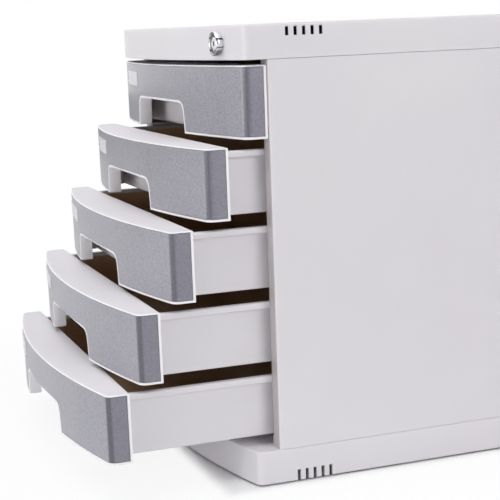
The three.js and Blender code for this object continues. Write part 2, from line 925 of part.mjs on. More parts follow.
function makeGuide(index) {
  const z = frontBottom(index) + tray.aboveFrontBottom + guide.aboveFloor;
  const y = [barSlotY[0] - guide.wall, barSlotY[1] + guide.wall];
  const whole = block([skinInside - guide.reach, skinInside - fit.seat], y, [z, z + guide.height]);
  const openHeight = [z - fit.overrun, z + guide.height + fit.overrun];
  const channel = block([barSlotInner, skinInside + fit.overrun], barSlotY, openHeight);
  return whole.subtract(channel);
}

// The model

const model = new THREE.Group();
const body = new THREE.Group();
model.add(body);

body.add(
  piece('base', makeBase(), whitePlastic),
  piece('top_cover', makeCover(), whitePlastic),
  piece('side_panel_left', makeSidePanel(-1), whitePlastic),
  piece('side_panel_right', makeSidePanel(1), whitePlastic),
  piece('back_panel', makeBackPanel(), whitePlastic),
);

const flangeSeat = frontBottom(0) + trayTop + fit.sliding + screw.headHeight + fit.still;
for (const place of footPlaces) {
  body.add(piece(`foot_${place.name}`, footSolid(place), rubber));
}
const deckSeat = base.height - base.deck - fit.still;
for (const place of screwPlaces) {
  body.add(piece(`base_screw_${place.name}`, screwSolid(place, deckSeat), zinc));
  body.add(piece(`cover_screw_${place.name}`, screwSolid(place, flangeSeat - fit.still), zinc));
}

body.add(
  piece('lock_housing', makeLockHousing(), chrome),
  piece('lock_nut', makeLockNut(), zinc),
  piece('lock_plug', makePlug(), chrome),
  piece('lock_cam', makeCam(), zinc),
  piece('lock_cam_screw', makeCamScrew(), zinc),
  piece('lock_bar', makeLockBar(), zinc),
);
guide.drawers.forEach((drawer, order) => {
  body.add(piece(`lock_bar_guide_${order + 1}`, makeGuide(drawer), trayPlastic));
});

const drawerSolids = [
  ['tray', makeTray(), trayPlastic],
  ['liner', makeLiner(), brownBoard],
  ['front', makeBezel(), whitePlastic],
  ['face', makeInlay(), greyFace],
  ['label_card', makeLabelCard(), paper],
  ['label_window', makeLabelWindow(), clearPlastic],
];

drawers.openShares.forEach((share, index) => {
  const group = new THREE.Group();
  group.position.set(0, -share * drawers.travel, frontBottom(index));
  for (const [name, solid, material] of drawerSolids) {
    group.add(piece(`drawer_${index + 1}_${name}`, solid, material));
  }
  body.add(group);
});

const widestOpen = drawers.openShares.at(-1) * drawers.travel;
const middle = (cabinet.depth - front.bow - widestOpen) / 2;
body.position.set(0, -middle, foot.stand);

export default model;
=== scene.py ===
# %% [markdown]
# A desktop file drawer is five shallow trays in a moulded cabinet. Each tray has a bowed front with
# a finger notch, and a key lock sits in the cover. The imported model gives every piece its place.
# This script dresses it: it draws the pieces that show again as smooth surfaces, gives each one
# a finish, and sets the camera and the light of a plain product photograph.

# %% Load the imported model
import math
import bmesh
import bpy
import numpy as np
from mathutils import Matrix, Vector


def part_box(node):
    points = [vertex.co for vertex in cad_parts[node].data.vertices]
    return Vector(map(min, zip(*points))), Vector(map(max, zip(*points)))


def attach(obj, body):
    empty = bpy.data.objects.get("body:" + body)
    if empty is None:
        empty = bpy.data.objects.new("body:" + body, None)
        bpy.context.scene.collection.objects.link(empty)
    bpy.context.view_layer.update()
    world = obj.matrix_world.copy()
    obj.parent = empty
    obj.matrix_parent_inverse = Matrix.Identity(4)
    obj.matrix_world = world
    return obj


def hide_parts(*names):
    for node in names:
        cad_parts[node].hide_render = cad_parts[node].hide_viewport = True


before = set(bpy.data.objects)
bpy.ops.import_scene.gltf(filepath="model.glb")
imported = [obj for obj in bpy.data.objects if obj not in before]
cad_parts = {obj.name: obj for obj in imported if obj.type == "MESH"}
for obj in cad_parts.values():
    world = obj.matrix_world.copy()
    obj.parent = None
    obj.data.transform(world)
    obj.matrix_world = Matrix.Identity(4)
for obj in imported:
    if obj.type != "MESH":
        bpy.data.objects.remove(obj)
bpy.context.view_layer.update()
scene = bpy.context.scene

# %% [markdown]
# The drawing works in millimetres. Its y starts at the two ends of the cabinet's bow and its z at
# the underside of the base. The frame is in metres, so one function brings points over, and another
# brings the corners of a node back. Sizes that the model knows are read, not measured twice.

# %% Bring millimetres of the drawing into the frame
MM = 0.001
CABINET_DEPTH = 382.0
COVER_TOP = 325.0
back_of_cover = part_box("top_cover")[1]
SHIFT = np.array([0.0, back_of_cover.y / MM - CABINET_DEPTH, back_of_cover.z / MM - COVER_TOP])
fronts = {k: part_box(f"drawer_{k}_front")[0] for k in range(1, 6)}
OPENED = {k: (fronts[1].y - fronts[k].y) / MM for k in fronts}
BOTTOM = {k: fronts[k].z / MM - SHIFT[2] for k in fronts}
print("shift:", SHIFT.round(2), "opened:", {k: round(v, 1) for k, v in OPENED.items()})


def in_frame(points):
    """Points of the drawing, shifted to the frame's origin and scaled to metres."""
    return (points + SHIFT) * MM


def drawn(node, up=0.0):
    """A node's lowest and highest corner as points of the drawing, with heights from up."""
    return np.round(np.array(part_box(node)) / MM - SHIFT - (0, 0, up), 3)


# %% [markdown]
# Nearly every piece is a thin moulded wall: two grids of points, its outer and its inner skin, joined
# by a strip along each open edge. A mask leaves cells out, and the strips then line the hole, which
# is how vents and slots are made. A second helper carries a profile once round a closed outline and
# closes both ends with a flat face.

# %% Walls and carried profiles
def grid_cells(index, wrap):
    """The four corners of each cell of a grid of indices, counter-clockwise seen from outside."""
    ahead = np.roll(index, -1, axis=0)
    count = len(index) if wrap else len(index) - 1
    return [index[:count, :-1], ahead[:count, :-1], ahead[:count, 1:], index[:count, 1:]]


def wall(outer, inner, keep=None, wrap=False, plates=False):
    """A closed wall between two skins: kept cells on both, and a strip where a kept cell ends.

    plates closes the last row of each skin with one flat face instead of a strip."""
    columns, rows = outer.shape[:2]
    index = np.arange(columns * rows).reshape(columns, rows)
    out = grid_cells(index, wrap)
    back = [corner + columns * rows for corner in out]
    if keep is None:
        keep = np.ones(out[0].shape, bool)
    faces = [np.stack(out, -1)[keep], np.stack(back[::-1], -1)[keep]]
    below = np.zeros_like(keep)
    below[:, 1:] = keep[:, :-1]
    above = np.zeros_like(keep)
    above[:, :-1] = keep[:, 1:]
    if plates:
        above[:, -1] = True
    before = np.roll(keep, 1, axis=0)
    after = np.roll(keep, -1, axis=0)
    if not wrap:
        before[0] = False
        after[-1] = False
    a, b, c, d = out
    a2, b2, c2, d2 = back
    for edge, corners in (
        (keep & ~below, (a, a2, b2, b)),
        (keep & ~above, (d, c, c2, d2)),
        (keep & ~before, (a, d, d2, a2)),
        (keep & ~after, (b, b2, c2, c)),
    ):
        faces.append(np.stack(corners, -1)[edge])
    listed = np.concatenate(faces).tolist()
    if plates:
        listed += [index[:, -1].tolist(), (index[::-1, -1] + columns * rows).tolist()]
    return np.concatenate([outer.reshape(-1, 3), inner.reshape(-1, 3)]), listed


def carried(rings):
    """A profile carried round a closed outline, with a flat face on its first and last ring."""
    columns, rows = rings.shape[:2]
    index = np.arange(columns * rows).reshape(columns, rows)
    faces = np.stack(grid_cells(index, True), -1).reshape(-1, 4).tolist()
    faces += [index[::-1, 0].tolist(), index[:, -1].tolist()]
    return rings.reshape(-1, 3), faces


def turned(profile, centre, axis="z", sides=64):
    """A round piece: the profile's radius and place along the axis, carried round a circle."""
    angle = np.linspace(0, 2 * np.pi, sides, endpoint=False)[:, None]
    radius, along = np.array(profile, float).T[:, None, :]
    u = radius * np.cos(angle)
    v = radius * np.sin(angle)
    w = along + 0 * angle
    order = {"z": (u, v, w), "y": (u, w, -v)}[axis]
    return carried(np.stack(order, -1) + np.array(centre, float))


def rounded_block(x, y, z, soft=0.3):
    """A block with soft upper and lower edges: four corners carried up a profile of six rings."""
    ring = np.array([[x[0], y[0]], [x[1], y[0]], [x[1], y[1]], [x[0], y[1]]], float)
    inward = np.sign(ring.mean(0) - ring)
    inset = np.array([soft, soft / 4, 0, 0, soft / 4, soft])
    height = np.array([z[0], z[0] + soft / 4, z[0] + soft, z[1] - soft, z[1] - soft / 4, z[1]])
    plan = ring[:, None] + inward[:, None] * inset[None, :, None]
    return carried(np.dstack([plan, np.broadcast_to(height, plan.shape[:2])]))


def quarter(steps):
    """Shares of a rounded edge: how far in and how far up, from the wall to the flat."""
    angle = np.linspace(0, np.pi / 2, steps + 1)
    return 1 - np.cos(angle), np.sin(angle)


stood_for = set()
# Points this near each other become one, and edges this short go, in metres
DOUBLE = 2e-6
SLIVER = 1e-6


def build(name, parts, finish, body, replaces, moved=(0, 0, 0)):
    """One object from several closed parts, with doubles merged and faces turned outwards."""
    points = []
    faces = []
    start = 0
    for part_points, part_faces in parts:
        points.append(part_points)
        faces += [[start + corner for corner in face] for face in part_faces]
        start += len(part_points)
    mesh = bpy.data.meshes.new(name)
    mesh.from_pydata(in_frame(np.concatenate(points) + moved).tolist(), [], faces)
    clean = bmesh.new()
    clean.from_mesh(mesh)
    bmesh.ops.remove_doubles(clean, verts=clean.verts, dist=DOUBLE)
    bmesh.ops.dissolve_degenerate(clean, edges=clean.edges, dist=SLIVER)
    bmesh.ops.recalc_face_normals(clean, faces=clean.faces)
    clean.to_mesh(mesh)
    clean.free()
    dress(name, mesh, finish, body, replaces)


def dress(name, mesh, finish, body, replaces, sharp=38, soften=0.0):
    """The mesh as an object with its finish, on its body, in place of the nodes it stands for.

    Edges sharper than so many degrees stay sharp, and soften rounds them by so many millimetres."""
    mesh.shade_smooth()
    mesh.set_sharp_from_angle(angle=math.radians(sharp))
    mesh.materials.clear()
    mesh.materials.append(finish.material)
    piece = bpy.data.objects.new(name, mesh)
    scene.collection.objects.link(piece)
    if soften:
        edge = piece.modifiers.new("soft_edges", "BEVEL")
        edge.width = soften * MM
        edge.segments = 3
        edge.limit_method = "ANGLE"
        edge.angle_limit = math.radians(sharp)
        edge.harden_normals = True
    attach(piece, body)
    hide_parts(*replaces)
    stood_for.update(replaces)
    print(name, "has", len(mesh.polygons), "faces")


def on_drawers(name, parts, finish, node):
    """The same piece on every drawer, moved to where that drawer stands, in place of its node."""
    for k in fronts:
        build(f"{name}_{k}", parts, finish, f"drawer_{k}", [f"drawer_{k}_{node}"],
              (0, -OPENED[k], BOTTOM[k]))


# %% [markdown]
# The finishes are worked out from noise in object space, so they sit still on the pieces from
# every side. One small class holds a socket and turns + - * into Math nodes. One method makes
# any other node. All amounts that don't change over a surface go straight on the shader.

# %% A small language for finishes
class Amount:
    """A socket that can be added, taken away and multiplied like a number."""

    def __init__(self, nodes, socket):
        self.nodes = nodes
        self.socket = socket

    def maths(self, operation, first, second):
        return self.nodes.node("ShaderNodeMath", {0: first, 1: second}, operation=operation)

    def __add__(self, other):
        return self.maths("ADD", self, other)

    def __sub__(self, other):
        return self.maths("SUBTRACT", self, other)

    def __mul__(self, other):
        return self.maths("MULTIPLY", self, other)

    def __abs__(self):
        return self.maths("ABSOLUTE", self, 0.0)

    __radd__ = __add__


class Nodes:
    """An empty node tree, with one way to add a node."""

    def __init__(self, owner):
        owner.use_nodes = True
        self.tree = owner.node_tree
        self.tree.nodes.clear()

    def node(self, kind, sockets=(), out=0, **settings):
        """Any node: its settings first, then the numbers or links of its sockets."""
        made = self.tree.nodes.new(kind)
        for setting, value in settings.items():
            setattr(made, setting, value)
        for socket, value in dict(sockets).items():
            if isinstance(value, Amount):
                self.tree.links.new(value.socket, made.inputs[socket])
            else:
                made.inputs[socket].default_value = value
        return Amount(self, made.outputs[out] if len(made.outputs) else None)

    def ease(self, amount, start, end, low=0.0, high=1.0):
        """A soft step from low to high as the amount goes from start to end."""
        return self.node("ShaderNodeMapRange", {"Value": amount, "From Min": start, "From Max": end,
                                                "To Min": low, "To Max": high},
                         interpolation_type="SMOOTHSTEP")


class Finish(Nodes):
    """A material with one Principled shader that reads the object's own coordinates."""

    def __init__(self, name, **fixed):
        self.material = bpy.data.materials.new(name)
        super().__init__(self.material)
        self.shader = self.tree.nodes.new("ShaderNodeBsdfPrincipled")
        for socket, value in fixed.items():
            self.shader.inputs[socket.replace("_", " ")].default_value = value
        self.place = self.node("ShaderNodeTexCoord", out="Object")
        self.output = self.tree.nodes.new("ShaderNodeOutputMaterial")
        self.surface = Amount(self, self.shader.outputs[0])
        self.show(self.surface)

    def show(self, surface):
        """Make this the surface of the material."""
        self.tree.links.new(surface.socket, self.output.inputs["Surface"])

    def facing(self, axis):
        """How far the surface faces along an axis of the piece, from -1 to 1."""
        normal = self.node("ShaderNodeTexCoord", out="Normal")
        return self.node("ShaderNodeSeparateXYZ", {"Vector": normal}, out=axis)

    def noise(self, scale, detail=2.0, rough=0.5, stretch=(1, 1, 1)):
        """Noise about 0.5, with features of about one over the scale, in metres."""
        where = self.node("ShaderNodeMapping", {"Vector": self.place, "Scale": stretch})
        return self.node("ShaderNodeTexNoise",
                         {"Vector": where, "Scale": scale, "Detail": detail, "Roughness": rough})

    def mix(self, share, first, second):
        """A colour between two others."""
        return self.node("ShaderNodeMix", {0: share, 6: first, 7: second}, out=2, data_type="RGBA")

    def feed(self, socket, amount):
        self.tree.links.new(amount.socket, self.shader.inputs[socket])

    def bump(self, height, distance, strength=1.0):
        """Small heights in metres that tilt the normal."""
        self.feed("Normal", self.node(
            "ShaderNodeBump", {"Height": height, "Distance": distance, "Strength": strength}))


def paint(red, green, blue):
    """A colour as seen on a screen, 0 to 255, turned into the light it stands for."""
    seen = np.array([red, green, blue]) / 255
    light = np.where(seen <= 0.04045, seen / 12.92, ((seen + 0.055) / 1.055) ** 2.4)
    return (*light.tolist(), 1.0)


# %% [markdown]
# The cabinet is moulded in an off-white plastic with a faint lilac cast and a fine even grain, as
# a spark-eroded mould leaves. The tint drifts a little over a panel, and the sheen changes where the
# melt flowed. Three extra tones are painted light and shade that follow the piece: a painted highlight
# makes the rims of a drawer front lighter, a painted shade makes the folded front edge of a side panel
# deeper, and painted shade darkens the hollow of the cover behind its vents.

# %% White mouldings
# Painted shade inside the cover, in metres of the frame: where it starts, and where it is full
HOLLOW_SHADE_SIDE = (0.1518, 0.1514)
HOLLOW_SHADE_TOP = (0.3243, 0.3240)
HOLLOW_SHADE_FRONT = (-0.106, -0.105)
HOLLOW_SHADE_REAR = (0.2515, 0.251)


def moulded(name, light, dark, rough, grain, painted_rim_light=None, painted_hollow_shade=None, ahead=None):
    """Off-white plastic: a slow drift of tint, flow streaks in the sheen and a fine grain.

    painted_rim_light: a painted highlight, the colour of all parts that don't face up. ahead: a painted
    shade, the colour of the parts that face forward. painted_hollow_shade: painted shade, the colour
    inside the cover, found from the place of each point in metres."""
    finish = Finish(name, IOR=1.49, Coat_Roughness=0.25)
    drift = finish.noise(9, 3)
    tint = finish.mix(drift * 1.6 - 0.3, dark, light)
    # Painted shade: the inside of the cover is darkened, as shade where light hardly reaches
    if painted_hollow_shade:
        x, y, z = (finish.node("ShaderNodeSeparateXYZ", {"Vector": finish.place}, out=n) for n in "XYZ")
        hollow_shade_share = finish.ease(abs(x), *HOLLOW_SHADE_SIDE) * finish.ease(z, *HOLLOW_SHADE_TOP)
        hollow_shade_share = hollow_shade_share * finish.ease(y, *HOLLOW_SHADE_FRONT) * finish.ease(y, *HOLLOW_SHADE_REAR)
        tint = finish.mix(hollow_shade_share, tint, painted_hollow_shade)
    # Painted highlight: all parts that don't face up are made lighter than the plates
    if painted_rim_light:
        tint = finish.mix(finish.ease(finish.facing("Z"), 0.75, 0.97), painted_rim_light, tint)
    # Painted shade: parts that face forward are made darker
    if ahead:
        tint = finish.mix(finish.ease(finish.facing("Y"), -0.7, -0.97), tint, ahead)
    finish.feed("Base Color", tint)
    flow = finish.noise(30, 2, 0.6, stretch=(1, 1, 0.25))
    fine = finish.noise(2600, 1)
    finish.feed("Roughness", rough + (flow - 0.5) * 0.16 + (fine - 0.5) * 0.08)
    finish.bump(fine * 0.7 + finish.noise(700, 2) * 0.3, 0.00006, grain)
    return finish


off_white = {"light": paint(232, 229, 233), "dark": paint(226, 222, 227), "rough": 0.36, "grain": 0.35}
cabinet_white = moulded("cabinet_white", **off_white)
# The cover's white carries painted shade in its hollow
cover_white = moulded("cover_white", **off_white, painted_hollow_shade=paint(24, 23, 24))
# ahead gives the front-facing fold of the panels a painted shade
panel_white = moulded("panel_white", **off_white, ahead=paint(190, 184, 184))
tray_white = moulded("tray_white", paint(230, 227, 231), paint(223, 219, 224), 0.42, 0.3)
# The fronts' white carries a painted highlight on all parts that don't face up
front_white = moulded("front_white", paint(235, 232, 236), paint(227, 223, 228), 0.58, 0.6,
                      painted_rim_light=paint(252, 251, 253))
print("white finishes:", cabinet_white.material.name, tray_white.material.name)

# %% [markdown]
# The drawer faces are a pearl grey: a metallic paint whose tiny flakes show as a fine speckle, made
# of two fine noises. Where the face turns round its ends its colour is painted darker, as painted shade
# and painted reflection: the tone follows how far the surface faces sideways, darkest in the turn and
# less dark on the flat ends. A thin clear coat gives the soft line of light there.

# %% Pearl grey faces
pearl = Finish("pearl_grey", IOR=1.5, Coat_Roughness=0.12)
flakes = pearl.noise(1900, 1)
grains = pearl.noise(620, 2, 0.7)
cloud = pearl.noise(14, 3)
glitter = flakes * 1.1 + grains * 1.8 + cloud * 0.4 - 1.15
# Painted shade and reflection: the colour darkens as the face turns sideways round its ends
sideways = abs(pearl.facing("X"))
turn = pearl.ease(sideways, 0.3, 0.6)
end = pearl.ease(sideways, 0.85, 0.99)
bow_tone = pearl.mix(glitter, paint(142, 141, 150), paint(184, 183, 192))
turn_painted_shade = pearl.mix(glitter, paint(93, 92, 101), paint(111, 110, 120))
end_painted_shade = pearl.mix(glitter, paint(125, 124, 135), paint(147, 145, 157))
pearl.feed("Base Color", pearl.mix(end, pearl.mix(turn, bow_tone, turn_painted_shade), end_painted_shade))
pearl.feed("Metallic", 0.45 + (grains - 0.5) * 0.4)
pearl.feed("Roughness", 0.34 + (flakes - 0.5) * 0.2 + (grains - 0.5) * 0.1)
pearl.feed("Coat Weight", 0.3 + (cloud - 0.5) * 0.1)
pearl.bump(flakes * 0.6 + grains * 0.4, 0.00004, 0.4)
print("face finish:", pearl.material.name)

# %% [markdown]
# Inside the trays lies a plain brown lining, and its brown also stands in for the warm shade deep in
# the trays: a board colour that is partly painted shade. Board is pressed fibre: short stretched marks
# in two directions, darker flecks, and a dull surface.

# %% Brown board and painted shade, card and clear label window
board_and_shade = Finish("brown_board", Specular_IOR_Level=0.25)
along = board_and_shade.noise(420, 3, 0.6, stretch=(1, 0.12, 1))
across = board_and_shade.noise(300, 3, 0.6, stretch=(0.15, 1, 0.6))
fleck = board_and_shade.noise(1500, 2, 0.7)
# Painted shade in part: this brown gives the warm shade deep inside the trays
board_and_shade.feed("Base Color", board_and_shade.mix(along * 0.7 + across * 0.5 + fleck * 0.3 - 0.25,
                                   paint(202, 167, 134), paint(236, 204, 171)))
board_and_shade.feed("Roughness", 0.72 + (fleck - 0.5) * 0.2)
board_and_shade.bump(along * 0.5 + fleck * 0.5, 0.00012, 0.6)

card = Finish("label_card", Specular_IOR_Level=0.3)
pulp = card.noise(900, 3, 0.6)
card.feed("Base Color", card.mix(pulp, paint(226, 221, 226), paint(242, 239, 241)))
card.feed("Roughness", 0.7 + (pulp - 0.5) * 0.2)
card.bump(pulp, 0.00004, 0.5)

window = Finish("clear_window", IOR=1.49, Alpha=0.2)
haze = window.noise(60, 3)
window.feed("Base Color", window.mix(haze, paint(236, 235, 240), paint(246, 246, 249)))
window.feed("Roughness", 0.08 + haze * 0.08)
print("small finishes:", board_and_shade.material.name, card.material.name, window.material.name)

# %% [markdown]
# The lock is chromed brass and the parts inside it are zinc plated. Chrome mirrors the room, so it
# has almost no colour of its own, only fine polishing marks. Its front dish is brushed and rougher, with
# a dark reflection painted into its colour; two short black bands of painted reflection lie on its round
# side, and painted shade darkens its underside. The plug is bright, with painted shade in black inside
# its keyway.
# Zinc is duller, with a spangle, and the locking bar is blackened steel.

# %% Metals and rubber
chrome = Finish("lock_chrome", Metallic=1.0)
marks = chrome.noise(1800, 2, 0.6, stretch=(1, 0.1, 1))
cloudy = chrome.noise(330, 1, 0.5, stretch=(1, 0.25, 1))
# Painted reflection and shade: the dish and two bands on the round side are darkened as a mirrored dark
# room, and the underside as shade
painted_dark_dish = chrome.ease(chrome.facing("Y"), -0.75, -0.93)
upward = chrome.facing("Z")
upper_painted_reflection = chrome.ease(abs(upward - 0.36), 0.1, 0.03)
lower_painted_reflection = chrome.ease(abs(upward + 0.3), 0.09, 0.02)
underside_painted_shade = chrome.ease(upward, -0.35, -0.6)
bright = chrome.mix(marks, paint(226, 226, 230), paint(250, 250, 252))
shaded = chrome.mix(underside_painted_shade, bright, paint(150, 147, 150))
side = chrome.mix(upper_painted_reflection + lower_painted_reflection * 0.8, shaded, paint(18, 18, 20))
dish_painted_reflection = chrome.mix(cloudy * 2 - 0.5, paint(62, 60, 63), paint(112, 110, 114))
chrome.feed("Base Color", chrome.mix(painted_dark_dish, side, dish_painted_reflection))
chrome.feed("Roughness", 0.12 + marks * 0.1 + painted_dark_dish * 0.3)
chrome.bump(marks, 0.00002, 0.5)

nickel = Finish("plug_nickel", Metallic=1.0)
wear = nickel.noise(700, 3, 0.6)
# Painted shade: all of the plug that doesn't face forward, the walls of the keyway among them, is black
unshaded_front = nickel.ease(nickel.facing("Y"), -0.4, -0.7)
polish = nickel.mix(wear, paint(226, 226, 229), paint(252, 252, 253))
nickel.feed("Base Color", nickel.mix(unshaded_front, paint(20, 20, 22), polish))
nickel.feed("Roughness", 0.3 + wear * 0.2)

zinc = Finish("zinc_plate", Metallic=1.0)
spangle = zinc.node("ShaderNodeTexVoronoi", {"Vector": zinc.place, "Scale": 420.0})
zinc.feed("Base Color", zinc.mix(spangle, paint(150, 152, 156), paint(196, 197, 200)))
zinc.feed("Roughness", 0.3 + spangle * 0.25)

steel = Finish("dark_steel", Metallic=0.5)
mottle = steel.noise(500, 3, 0.6)
steel.feed("Base Color", steel.mix(mottle, paint(16, 16, 18), paint(34, 34, 37)))
steel.feed("Roughness", 0.5 + (mottle - 0.5) * 0.3)

sole = Finish("foot_rubber", Specular_IOR_Level=0.3)
dust = sole.noise(600, 3, 0.6)
sole.feed("Base Color", sole.mix(dust, paint(30, 30, 32), paint(58, 57, 60)))
sole.feed("Roughness", 0.75 + (dust - 0.5) * 0.2)
sole.bump(dust, 0.0001, 0.5)
print("metals and rubber:", chrome.material.name, zinc.material.name, sole.material.name)

# %% [markdown]
# Cover, base and drawer fronts share one plan: a shallow bow in front, a rounded corner at each end,
# straight sides and a straight back. Each point of the outline keeps the direction in which it moves
# when the outline shrinks, so that a profile of insets and heights can be carried round it.

# %% The bowed outline
class Outline:
    """Points seen from above, and for each the direction towards the inside.

    The bow is an arc. Its radius is half its chord squared plus the bow squared, over twice the
    bow. Each corner is a small arc that touches the bow from inside, and the straight side."""

    def __init__(self, width, bow, corner):
        self.half = width / 2
        self.corner = corner
        chord = self.half - corner
        self.radius = (chord ** 2 + bow ** 2) / (2 * bow)
        self.centre = self.radius - bow
        reach = self.radius - corner
        self.corner_y = self.centre - math.sqrt(reach ** 2 - chord ** 2)
        self.lean = math.asin(chord / reach)
        self.limit = self.radius * math.sin(self.lean) - 1

    def bow_y(self, x, depth=0.0):
        """Where the bow lies at x, this deep under its face: the centre less the circle's height."""
        return self.centre - np.sqrt((self.radius - depth) ** 2 - np.asarray(x, float) ** 2)

    def arc(self, x, y, radius, angles):
        """Points of an arc and the directions back to its centre."""
        way = np.stack([np.cos(angles), np.sin(angles)], -1)
        return np.array([x, y]) + radius * way, -way

    def line(self, points, inward):
        """Points of a straight part, all with the same direction."""
        points = np.array(points, float).reshape(-1, 2)
        return points, np.tile(np.array(inward, float), (len(points), 1))

    def around(self, bow_x, side_y, back=None, back_x=(), steps=10):
        """Left side, corner, bow, corner and right side. With a back it goes on round to the start."""
        down = 1.5 * np.pi
        chord = self.half - self.corner
        runs = [
            self.line([(-self.half, y) for y in side_y[::-1]], (1, 0)),
            self.arc(-chord, self.corner_y, self.corner, np.linspace(np.pi, down - self.lean, steps)),
            self.arc(0, self.centre, self.radius, down + np.arcsin(np.array(bow_x) / self.radius)),
            self.arc(chord, self.corner_y, self.corner, np.linspace(down + self.lean, 2 * np.pi, steps)),
            self.line([(self.half, y) for y in side_y], (-1, 0)),
        ]
        if back is not None:
            runs.insert(0, self.line([(-self.half, back)], (1, -1)))
            runs.append(self.line([(self.half, back)], (-1, -1)))
            runs.append(self.line([(x, back) for x in back_x[::-1]], (0, -1)))
        return np.concatenate([r[0] for r in runs]), np.concatenate([r[1] for r in runs])


def skin(outline, inset, height):
    """Carry a profile: each column of the outline moved inwards by the inset, at the height."""
    points, inward = outline
    shape = (len(points), np.shape(inset)[-1])
    inset = np.broadcast_to(inset, shape)
    height = np.broadcast_to(height, shape)
    plan = points[:, None] + inward[:, None] * inset[..., None]
    return np.dstack([plan, height])


# The widest step along a bow and along a side, and the distance that counts as none
BOW_STEP = 4
SIDE_STEP = 30
NEAR = 0.01


def spread(marks, step):
    """All marks, with even stations between them no further apart than the step."""
    marks = sorted(set(np.round(marks, 4)))
    runs = [np.linspace(a, b, max(2, math.ceil((b - a) / step) + 1))[:-1]
            for a, b in zip(marks[:-1], marks[1:])]
    return np.concatenate(runs + [[marks[-1]]])


cover_low, cover_high = drawn("top_cover")
front_low, front_high = drawn("drawer_1_front", BOTTOM[1])
cabinet_plan = Outline(width=2 * cover_high[0], bow=-cover_low[1], corner=5.5)
front_plan = Outline(width=2 * front_high[0], bow=-front_low[1], corner=6)
print("bow radius:", round(cabinet_plan.radius), "and", round(front_plan.radius), "mm")

# %% [markdown]
# The cover is a cap 23.6 mm high. Its upper edge is rounded, five narrow vents are cut into each
# side close under that edge, and the lock's barrel passes through its front. Its wall is thinner
# beside the vents. The base is the same cap without a lock: its slots are open at the bottom, like
# a comb. Both are walls with a mask, and hold closed parts: screw posts, ribs and sockets.

# %% The bowed cap
WALL = 2.4
LOWER_EDGE = 0.3
VENT_WIDTH = 2.6
VENT_STARTS = 30.8 + 6.25 * np.arange(5)
VENT_MARGIN = 3
VENT_STEP = 0.5
LOCK_X, _, LOCK_Z = drawn("lock_housing").mean(0)
LOCK_ROOM = 4.65
SIDE_RUN = (8, 380)
BACK_RUN = (-150, 150)
vent_edges = np.concatenate([VENT_STARTS, VENT_STARTS + VENT_WIDTH])


def cabinet_shell(levels, top, soft, plate, slots, thin, lock_hole=False):
    """A cap: rings at the levels over a small lower bevel, then a quarter circle up to the top.

    The inner skin lies a wall inside the outer one, or the thin wall beside the slots, and stops
    under the plate. Cells between the slots' two heights are left out where a slot lies."""
    thin_from = vent_edges.min() - VENT_MARGIN
    thin_to = vent_edges.max() + VENT_MARGIN
    side_y = spread([*SIDE_RUN, thin_from - VENT_STEP, thin_from, *vent_edges,
                     thin_to, thin_to + VENT_STEP], SIDE_STEP)
    bow_x = spread([-cabinet_plan.limit, LOCK_X - LOCK_ROOM, LOCK_X + LOCK_ROOM,
                    cabinet_plan.limit], BOW_STEP)
    outline = cabinet_plan.around(bow_x, side_y, CABINET_DEPTH, spread(BACK_RUN, SIDE_STEP))
    into, up = quarter(6)
    height = np.concatenate([[levels[0], levels[0] + LOWER_EDGE], levels[1:], top - soft + soft * up])
    inset = np.concatenate([[LOWER_EDGE, 0], np.zeros(len(levels) - 1), soft * into])
    outer = skin(outline, inset, height)
    x, y = outline[0].T
    on_side = np.abs(np.abs(x) - cabinet_plan.half) < NEAR
    thinned = on_side & (y > thin_from - NEAR) & (y < thin_to + NEAR)
    depth = np.where(thinned, thin, WALL)[:, None] + 0 * inset
    inner = skin(outline, depth, np.minimum(height, top - plate))
    middle_y = (y + np.roll(y, -1)) / 2
    middle_x = (x + np.roll(x, -1)) / 2
    middle_z = (height[1:] + height[:-1]) / 2
    both = on_side & np.roll(on_side, -1)
    slot = np.any((middle_y[:, None] > VENT_STARTS) & (middle_y[:, None] < VENT_STARTS + VENT_WIDTH), 1)
    holes = (both & slot)[:, None] & (middle_z > slots[0]) & (middle_z < slots[1])
    if lock_hole:
        ahead = (np.abs(middle_x - LOCK_X) < LOCK_ROOM) & (middle_y < 0)
        holes |= ahead[:, None] & (np.abs(middle_z - LOCK_Z) < LOCK_ROOM)
    return wall(outer, inner, ~holes, wrap=True, plates=True)


print("vents at", VENT_STARTS, "mm")

# %% The cover
COVER_BOTTOM = cover_low[2]
COVER_ROUND = 1.6
COVER_PLATE = 2.6
VENT_LOW = 316.6
VENT_WALL = 1.0
POST_RADIUS = 4.5
POST_TOP = COVER_TOP - 1.5
CORNERS = [f"{row}_{side}" for side in ("left", "right") for row in ("front", "rear")]
cover_levels = [COVER_BOTTOM, LOCK_Z - LOCK_ROOM, VENT_LOW, LOCK_Z + LOCK_ROOM]
cover_parts = [cabinet_shell(cover_levels, COVER_TOP, COVER_ROUND, COVER_PLATE,
                             (VENT_LOW, COVER_TOP - COVER_ROUND), VENT_WALL, lock_hole=True)]
for corner in CORNERS:
    x, y, _ = drawn(f"cover_screw_{corner}").mean(0)
    cover_parts.append(
        turned([(POST_RADIUS, COVER_BOTTOM), (POST_RADIUS, POST_TOP)], (x, y, 0), sides=24))
build("cover", cover_parts, cover_white, "cabinet", ["top_cover"])

